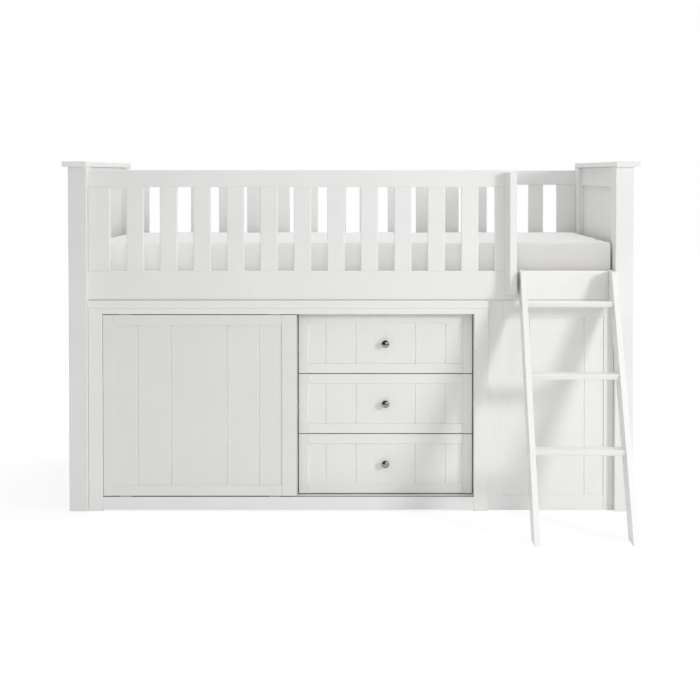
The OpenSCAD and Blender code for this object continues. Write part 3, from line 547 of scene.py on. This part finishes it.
# %% [markdown]
# ## Metal
# The bolts, nuts, pins and screws are steel with a zinc coat, whose crystals leave faint patches. The
# ladder's hooks are blackened strip, rubbed bright where they lie on the rail. The knobs are polished
# metal with painted shade in their colour, a painted reflection of a dark room, and carry faint smears
# that are only seen in their shine. All three are plain metal with another colour and roughness; only
# where the pattern comes from is different.

# %% Blackened steel, zinc and polished metal
RUB_START = 0.0005
RUB_END = 0.0015
RUB_UNEVEN = 0.002
CRYSTALS_PER_M = 320


def blackened(worn_above):
    """Blackened steel strip: rolling lines along its length, paler patches, and bare bright steel where
    the hand rubs it, which is all of it above one height."""
    material, place, shader = new_finish("black_steel", {"Metallic": 1.0})
    height = axes(place)[2]
    rolled = streaks(place, "x", along=1500, across=60)
    cloud = noise(place, per_m=90, detail=3.0)
    pale = spread(cloud * 0.8 + rolled * 0.2, 0.45, 0.75)
    black = mix(pale, (0.045, 0.045, 0.05), (0.12, 0.12, 0.125))
    rubbed = spread(height + cloud * RUB_UNEVEN, worn_above + RUB_START, worn_above + RUB_END)
    feed(shader,
         base_color=mix(rubbed, black, (0.78, 0.78, 0.77)),
         roughness=dullness(cloud, 0.36, 0.55),
         normal=bump(rolled, depth=0.00004, strength=0.4))
    return material


def zinc():
    """Bright zinc on steel: patches of crystals a few millimetres wide, each with its own tone."""
    material, place, shader = new_finish("zinc_plate", {"Metallic": 1.0})
    crystals = place.node("ShaderNodeTexVoronoi", {}, {"Vector": place, "Scale": CRYSTALS_PER_M},
                          out="Color")
    tone = crystals.node("ShaderNodeRGBToBW", {}, {"Color": crystals})
    feed(shader,
         base_color=mix(tone, (0.50, 0.52, 0.55), (0.66, 0.67, 0.68)),
         roughness=dullness(tone, 0.28, 0.42, low=0.2, high=0.8),
         normal=bump(tone, depth=0.00005, strength=0.3))
    return material


def polished():
    """Polished metal, painted dark as if it mirrored a dark room, with fine relief and a smear of
    handling.
    """
    material, place, shader = new_finish("polished_metal_painted_dark", {"Metallic": 1.0})
    smear = noise(place, per_m=130, detail=3.0, distortion=1.5)
    # The dark colours are painted reflection: they stand for a dark room mirrored in the polished metal.
    feed(shader,
         base_color=mix(smear, (0.26, 0.253, 0.245), (0.34, 0.332, 0.322)),
         roughness=dullness(smear, 0.08, 0.16, low=0.35),
         normal=bump(noise(place, per_m=1500), depth=0.00002, strength=0.3))
    return material


zinc_finish = zinc()
dress(zinc_finish, "frame_bolts", "barrel_nuts", "shelf_pins", "ladder_screws")
dress(blackened(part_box("front_side_rail")[1].z), "ladder_hooks")
dress(polished(), *each_drawer("knob"))

# %% [markdown]
# ## Mattress cloth
# The mattress has a white cotton cover. A picture of cloth could be laid over it, but a weave is
# simple enough to work out: two sets of threads that pass over and under each other. Its height comes
# from the cover's own map, which counts metres along the cloth, so that the threads follow the sides
# and the top alike.

# %% Cloth
THREADS_PER_M = 900


def cotton():
    """White cotton: warp and weft as two waves whose product is high where a thread lies on top."""
    material, place, shader = new_finish("mattress_cotton", {"Sheen Weight": 0.25, "Sheen Roughness": 0.5,
                                                             "Specular IOR Level": 0.2})
    cover = place.node("ShaderNodeUVMap", {"uv_map": "cloth"}, {})
    u, v = axes(cover)[:2]
    turn = math.pi * THREADS_PER_M
    warp = u.math("SINE", u * turn)
    weft = v.math("SINE", v * turn)
    weave = warp * weft * 0.5 + 0.5
    slub = streaks(cover, "x", along=60, across=700)
    threads = spread(weave * 0.4 + slub * 0.6, 0.2, 0.8)
    feed(shader,
         base_color=mix(threads, (0.70, 0.693, 0.69), (0.76, 0.755, 0.75)),
         roughness=dullness(slub, 0.78, 0.9),
         normal=bump(weave * 0.7 + slub * 0.3, depth=0.0002, strength=0.5))
    return material


cotton_cover = cotton()
print(cotton_cover.name, "with", THREADS_PER_M, "threads in a metre")

# %% [markdown]
# ## The mattress
# A foam mattress is a slab with soft edges: the cover is drawn over it, swells a little between the
# edges and pulls tight along them. It could be carved by hand, but a cloth simulation gets the slack
# and tight places for nothing. The slab starts a few millimetres small, is blown up gently, and stops
# where the real cover would be tight.

# %% A slab with round edges
MATTRESS_STEP = 0.015
MATTRESS_ROUND = np.array([0.004, 0.005, 0.024])
COVER_ROOM = np.array([0.0025, 0.0, 0.0])
MATTRESS_SWELL = 0.003
ROUNDING_ANGLES = [15, 30, 45]


def grid_lines(half, radius, step):
    """Where the grid's lines lie along one axis: a step apart on the flat, and closer together in the
    rounding, at the radius times the tangent of 15, 30 and 45 degrees past the flat."""
    flat = half - radius
    rounding = radius * np.tan(np.radians(ROUNDING_ANGLES))
    inner = np.linspace(-flat, flat, max(2, round(2 * flat / step)) + 1)
    return np.concatenate([-flat - rounding[::-1], inner, flat + rounding])


def slab(low, high, step, radii):
    """The skin of a box with round edges. Each point of the box's six grids is pulled back to an inner
    box that is smaller by a radius for each axis, and pushed out from there again, straight away, as
    far as an ellipsoid with those three radii."""
    middle = (low + high) / 2
    half = (high - low) / 2
    lines = [grid_lines(half[axis], radii[axis], step) for axis in range(3)]
    points, faces, start = [], [], 0
    for axis in range(3):
        one, two = (axis + 1) % 3, (axis + 2) % 3
        for side in (-1, 1):
            grid_a, grid_b = np.meshgrid(lines[one], lines[two], indexing="ij")
            wall = np.zeros((*grid_a.shape, 3))
            wall[..., axis] = side * half[axis]
            wall[..., one] = grid_a
            wall[..., two] = grid_b
            cells = grid_faces(*grid_a.shape) + start
            faces.append(cells if side > 0 else cells[:, ::-1])
            points.append(wall.reshape(-1, 3))
            start += grid_a.size
    points = np.concatenate(points)
    inner = np.clip(points, radii - half, half - radii)
    out = (points - inner) / radii
    out /= np.linalg.norm(out, axis=1, keepdims=True)
    return inner + out * radii + middle, np.concatenate(faces)


def weld(piece, dist, turn_outwards=False):
    """Joins the piece's points that lie closer together than dist, and may turn its faces outwards."""
    shell = bmesh.new()
    shell.from_mesh(piece.data)
    bmesh.ops.remove_doubles(shell, verts=shell.verts, dist=dist)
    if turn_outwards:
        bmesh.ops.recalc_face_normals(shell, faces=shell.faces)
    shell.to_mesh(piece.data)
    shell.free()


mattress_low, mattress_high = (np.array(c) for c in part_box("mattress"))
points, faces = slab(mattress_low + MATTRESS_SWELL - COVER_ROOM,
                     mattress_high - MATTRESS_SWELL + COVER_ROOM, MATTRESS_STEP, MATTRESS_ROUND)
mattress = new_piece("mattress_cover", points, faces, cotton_cover)
weld(mattress, MATTRESS_STEP / 100)
print("mattress skin:", len(mattress.data.vertices), "points")

# %% [markdown]
# The slab is blown up as a closed cloth with no gravity. A balloon would turn into a pillow, so every
# point stops once it has moved by the swell: that is the foam inside, which fills the cover evenly.

# %% Blow up the cover
CLOTH_STEPS = 14
CLOTH_PRESSURE = 3.0
CLOTH_QUALITY = 4
HELD_SHARE = 0.95
TINY = 1e-9


def values_of(items, name, width=1, kind=float):
    """One value of every point, corner or face of a mesh as an array, in rows of a width."""
    flat = np.empty(len(items) * width, kind)
    items.foreach_get(name, flat)
    return flat.reshape(-1, width) if width > 1 else flat


def blown_up(piece, limit):
    """Runs the cloth simulation on the piece and writes the result into its mesh, each point moved by
    at most limit metres. It returns how far the points moved."""
    before = values_of(piece.data.vertices, "co", 3)
    cloth = piece.modifiers.new("cloth", "CLOTH")
    cloth.settings.use_pressure = True
    cloth.settings.uniform_pressure_force = CLOTH_PRESSURE
    cloth.settings.effector_weights.gravity = 0
    cloth.settings.quality = CLOTH_QUALITY
    cloth.point_cache.frame_start = 1
    cloth.point_cache.frame_end = CLOTH_STEPS
    scene = bpy.context.scene
    for step in range(1, CLOTH_STEPS + 1):
        scene.frame_set(step)
    swollen = piece.evaluated_get(bpy.context.evaluated_depsgraph_get())
    moved = values_of(swollen.data.vertices, "co", 3) - before
    piece.modifiers.remove(cloth)
    scene.frame_set(1)
    length = np.linalg.norm(moved, axis=1, keepdims=True)
    moved *= np.minimum(1, limit / np.maximum(length, TINY))
    piece.data.vertices.foreach_set("co", (before + moved).ravel())
    return length


length = blown_up(mattress, MATTRESS_SWELL * HELD_SHARE)
print(f"the cover moved by {1000 * length.mean():.1f} mm on average before it was held")

# %% [markdown]
# A mattress is never quite even, so two crossed waves, at most two and a half millimetres deep, are
# pressed into its upper side. The underside is set flat again, as it lies on the slats. The cloth's
# map could come from unwrapping the slab, which stretches it at the corners. Instead each face takes
# the two axes that lie along it, in metres, so that a thread is equally thick everywhere.

# %% Last shape and cloth map
SOFT_WAVE = 0.0012
WAVES_ALONG = 17
WAVES_ACROSS = 21
BEND_ALONG = 9
BEND_ACROSS = 13

co = values_of(mattress.data.vertices, "co", 3)
x, y, z = co.T
wave = (np.sin(x * WAVES_ALONG + np.sin(y * BEND_ALONG))
        * np.sin(y * WAVES_ACROSS + np.sin(x * BEND_ACROSS)))
upper = np.clip((z - mattress_low[2]) / (mattress_high[2] - mattress_low[2]), 0, 1)
co[:, 2] = np.maximum(z + SOFT_WAVE * (wave - 1) * upper, mattress_low[2])
mattress.data.vertices.foreach_set("co", co.ravel())
mattress.data.update()


def cloth_map(mesh):
    """A map in metres, called cloth. Each face leaves out the axis that it faces most, and its corners
    take their places on the other two."""
    at = values_of(mesh.vertices, "co", 3)[values_of(mesh.loops, "vertex_index", kind=int)]
    facing = np.abs(values_of(mesh.polygons, "normal", 3)).argmax(axis=1)
    facing = np.repeat(facing, values_of(mesh.polygons, "loop_total", kind=int))
    along = np.where(facing == 0, 1, 0)
    up = np.where(facing == 2, 1, 2)
    rows = np.arange(len(at))
    uv = np.stack([at[rows, along], at[rows, up]], axis=-1)
    mesh.uv_layers.new(name="cloth").data.foreach_set("uv", uv.ravel())


cloth_map(mattress.data)
smooth = mattress.modifiers.new("smooth", "SUBSURF")
smooth.levels = 1
smooth.render_levels = 1
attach(mattress, "bed")
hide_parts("mattress")
print("the waves are up to", 2 * SOFT_WAVE, "m deep")

# %% [markdown]
# ## Light for the mattress
# In the photograph the slats throw no shadow on the mattress, its side is darker than the rail below
# it, and it fades from left to right: it was lit apart. One set of lamps for everything can't do
# that, so light linking does the same here. The softbox leaves the mattress out, and two lamps shine
# on nothing else, one on its side from the left in front, and one on its top from behind. Only the
# mattress stops their light, so that no slat's shadow falls on it.

# %% Lamps for the mattress alone
MATTRESS_FACE_WATTS = 59
MATTRESS_TOP_WATTS = 5

mattress_lamps = [
    soft_lamp("mattress_face_lamp", place=(-2.4, -3.6, 1.3), aim=(0.0, 0.0, 0.9), size=1.6,
              watts=MATTRESS_FACE_WATTS),
    soft_lamp("mattress_top_lamp", place=(-0.1, 1.7, 1.9), aim=(0.0, 0.5, 0.97), size=2.2,
              watts=MATTRESS_TOP_WATTS)]
softbox.light_linking.receiver_collection = linked("all_but_mattress", "EXCLUDE", mattress)
mattress_alone = linked("mattress_alone", "INCLUDE", mattress)
for lamp in mattress_lamps:
    lamp.light_linking.receiver_collection = mattress_alone
    lamp.light_linking.blocker_collection = mattress_alone

# %% [markdown]
# ## Bolts and screws with their sockets
# The frame is pulled together by bolts whose heads show on the outer faces of the posts, and the
# treads by screws in the ladder's sides. A socket could be cut out with a boolean, which leaves long
# thin faces. Here each bolt is turned from one profile, and its six-sided socket is made in the same
# grid as the rest: its ring of points simply lies on a hexagon instead of a circle.

# %% Turned heads with sockets
HEAD_ANGLES = 48
HEAD_EDGE = 0.18
EDGE_BEND = 0.3
TIP_CHAMFER = 0.12
SOCKET_MOUTH = 1.12
MOUTH_DEPTH = 0.4
SAME_POINT = 1e-6
FRAME_BOLT = {"shank_d": 0.008, "head_d": 0.018, "head_t": 0.005, "key": 0.006, "deep": 0.0035}
TREAD_SCREW = {"shank_d": 0.005, "head_d": 0.009, "head_t": 0.003, "key": 0.0035, "deep": 0.002}


def socket_bolt(tip, head, shank_d, head_d, head_t, key, deep):
    """A bolt from its tip to the middle of its head's face, both points on a line along X. Each ring of
    the grid has a distance along the bolt and a radius; in the socket the radius is that of a hexagon,
    half the key's width divided by the cosine of the angle from the nearest flat's middle."""
    tip, head = np.array(tip), np.array(head)
    length = np.linalg.norm(head - tip)
    ax = (head - tip) / length
    up = np.array([0.0, 0.0, 1.0])
    across = np.cross(ax, up)
    angle = np.linspace(0, 2 * math.pi, HEAD_ANGLES, endpoint=False)
    flat = (angle + math.pi / 6) % (math.pi / 3) - math.pi / 6
    hexagon = key / 2 / np.cos(flat)
    circle = np.ones_like(angle)
    shank, rim = circle * shank_d / 2, circle * head_d / 2
    edge = min(head_t, head_d / 2) * HEAD_EDGE
    chamfer = shank_d * TIP_CHAMFER
    rings = [(0, 0 * circle), (0, shank - chamfer), (chamfer, shank), (length - head_t, shank),
             (length - head_t, rim), (length - edge, rim),
             (length - edge * EDGE_BEND, rim - edge * EDGE_BEND), (length, rim - edge),
             (length, hexagon * SOCKET_MOUTH), (length - edge * MOUTH_DEPTH, hexagon),
             (length - deep, hexagon), (length - deep, 0 * circle)]
    t = np.array([ring[0] for ring in rings])[:, None, None]
    r = np.array([ring[1] for ring in rings])[:, :, None]
    round_way = np.cos(angle)[:, None] * across + np.sin(angle)[:, None] * up
    points = tip + t * ax + r * round_way
    return points.reshape(-1, 3), grid_faces(len(rings), HEAD_ANGLES, wrap=True)


def bolt_set(name, node, body, ends, sizes):
    """One piece that holds all the bolts of a node: ends are (tip, head) pairs, sizes are named."""
    points, faces, start = [], [], 0
    for tip, head in ends:
        bolt_points, bolt_faces = socket_bolt(tip, head, **sizes)
        points.append(bolt_points)
        faces.append(bolt_faces + start)
        start += len(bolt_points)
    piece = new_piece(name, np.concatenate(points), np.concatenate(faces), zinc_finish, smooth=False)
    weld(piece, SAME_POINT, turn_outwards=True)
    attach(piece, body)
    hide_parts(node)
    print(f"{name}: {len(ends)} pieces, {len(piece.data.polygons)} faces")


print("frame bolt:", FRAME_BOLT)
print("tread screw:", TREAD_SCREW)

# %% [markdown]
# Where the bolts are need not be written down again, because the frame has them as plain solids. One
# mesh holds all solids of a node, so each is found by the points that its triangles share, and the
# new bolt takes its place and length from that solid's box.

# %% Bolts in their places
PLACE_DIGITS = 6


def solid_boxes(node):
    """The lowest and highest corners of each separate solid of a node. Corners at one place, to a
    thousandth of a millimetre, share a number, which is their first label. Every triangle gives its
    three corners the lowest of their labels, until each solid is left with one label of its own."""
    mesh = nodes[node].data
    mesh.calc_loop_triangles()
    at = values_of(mesh.vertices, "co", 3)
    places, number = np.unique(at.round(PLACE_DIGITS), axis=0, return_inverse=True)
    joined = number.ravel()[values_of(mesh.loop_triangles, "vertices", 3, int)]
    label, before = np.arange(len(places)), None
    while not np.array_equal(label, before):
        before = label.copy()
        np.minimum.at(label, joined, before[joined].min(axis=1, keepdims=True))
    solids = [places[label == one] for one in np.unique(label)]
    return [(solid.min(axis=0), solid.max(axis=0)) for solid in solids]


def bolt_ends(node):
    """Tip and head of every bolt of a node. The heads point away from the middle of them all."""
    low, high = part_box(node)
    middle_x = (low.x + high.x) / 2
    ends = []
    for solid_low, solid_high in solid_boxes(node):
        tip = (solid_low + solid_high) / 2
        head = tip.copy()
        tip[0], head[0] = solid_low[0], solid_high[0]
        ends.append((tip, head) if tip[0] > middle_x else (head, tip))
    return ends


bolt_set("frame_bolt_set", "frame_bolts", "bed", bolt_ends("frame_bolts"), FRAME_BOLT)
bolt_set("tread_screw_set", "ladder_screws", "ladder", bolt_ends("ladder_screws"), TREAD_SCREW)
